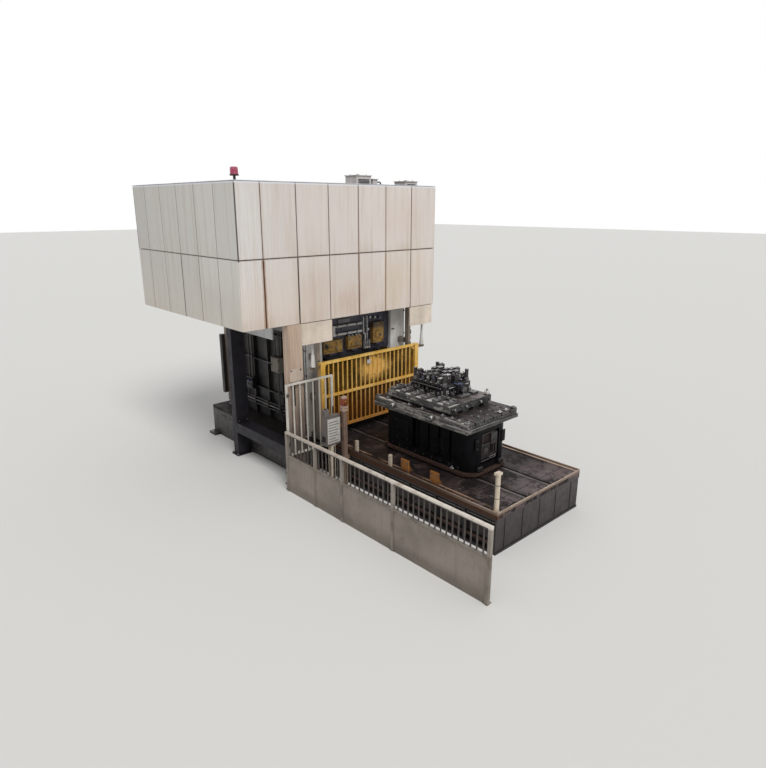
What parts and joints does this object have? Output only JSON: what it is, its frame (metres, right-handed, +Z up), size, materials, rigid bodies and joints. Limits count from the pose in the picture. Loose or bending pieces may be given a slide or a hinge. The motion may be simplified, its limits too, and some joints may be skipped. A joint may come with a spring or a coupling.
{
  "type": "hydroforming press with moving bolster",
  "caption": "Hydroforming press with a clad head, a lifting barred gate, low guarding and a bolster carriage on its track.",
  "frame": {"origin": "on the floor under the centre of the slide", "axes": "+X to the right seen from the front, +Y from the front to the rear, +Z up"},
  "size_m": [5.605, 10.226, 6.662],
  "materials": {
    "cladding": "satin",
    "frame": "satin",
    "yellow": "satin",
    "white": "satin",
    "beige": "satin",
    "dark": "satin",
    "blue": "satin",
    "deck": "worn",
    "steel": "worn",
    "rod": "polished",
    "lamp": "gloss",
    "box": "satin",
    "bronze": "satin",
    "orange": "satin",
    "rusty": "worn"
  },
  "bodies": {
    "press": {"bed": "frame", "bed_deck": "deck", "anchor_feet": "frame", "columns": "frame", "side_frames": "frame", "slide_gibs": "bronze", "crown": "frame", "overhang_beams": "frame", "left_front_post": "beige", "left_rear_post": "dark", "left_base_beam": "dark", "left_side_skirt": "frame", "side_junction_box": "beige", "cladding_frame": "frame", "front_cladding": "cladding", "rear_cladding": "cladding", "left_cladding": "cladding", "right_cladding": "cladding", "front_skirts": "cladding", "rear_skirts": "cladding", "roof_deck": "cladding", "roof_edge_trim": "steel", "roof_units": "white", "beacon_stem": "dark", "beacon_lamp": "lamp", "front_gate_guides": "beige", "gate_lift_barrels": "steel", "rear_screen_posts": "beige", "rear_guard_screen": "yellow", "guard_corner_post": "white", "guard_panel": "white", "fence_rails": "white", "fence_sheets": "beige", "control_box": "box", "control_pole": "beige", "signal_post": "beige", "signal_unit": "white", "track_frame": "dark", "track_deck": "deck", "track_rails": "steel", "track_edge_angles": "steel", "track_posts": "white", "carriage_stops": "orange", "carriage_body": "dark", "carriage_rim": "rusty", "carriage_wheels": "steel", "bolster_table": "steel", "die_shoe": "steel", "lower_die": "dark", "die_fittings": "steel", "feed_cylinders": "dark", "shoe_clamps": "steel"},
    "slide": {"slide": "blue", "slide_clamp_blocks": "yellow", "slide_front_pipes": "white", "slide_plungers": "rod"},
    "gate": {"lift_gate": "yellow", "gate_lift_rods": "white"}
  },
  "joints": [
    {"name": "gate_lift", "type": "slide", "parent": "press", "child": "gate", "axis": [0, 0, 1], "range_m": [0, 1.5]},
    {"name": "slide_stroke", "type": "slide", "parent": "press", "child": "slide", "axis": [0, 0, -1], "range_m": [-0.2, 0.7]}
  ]
}
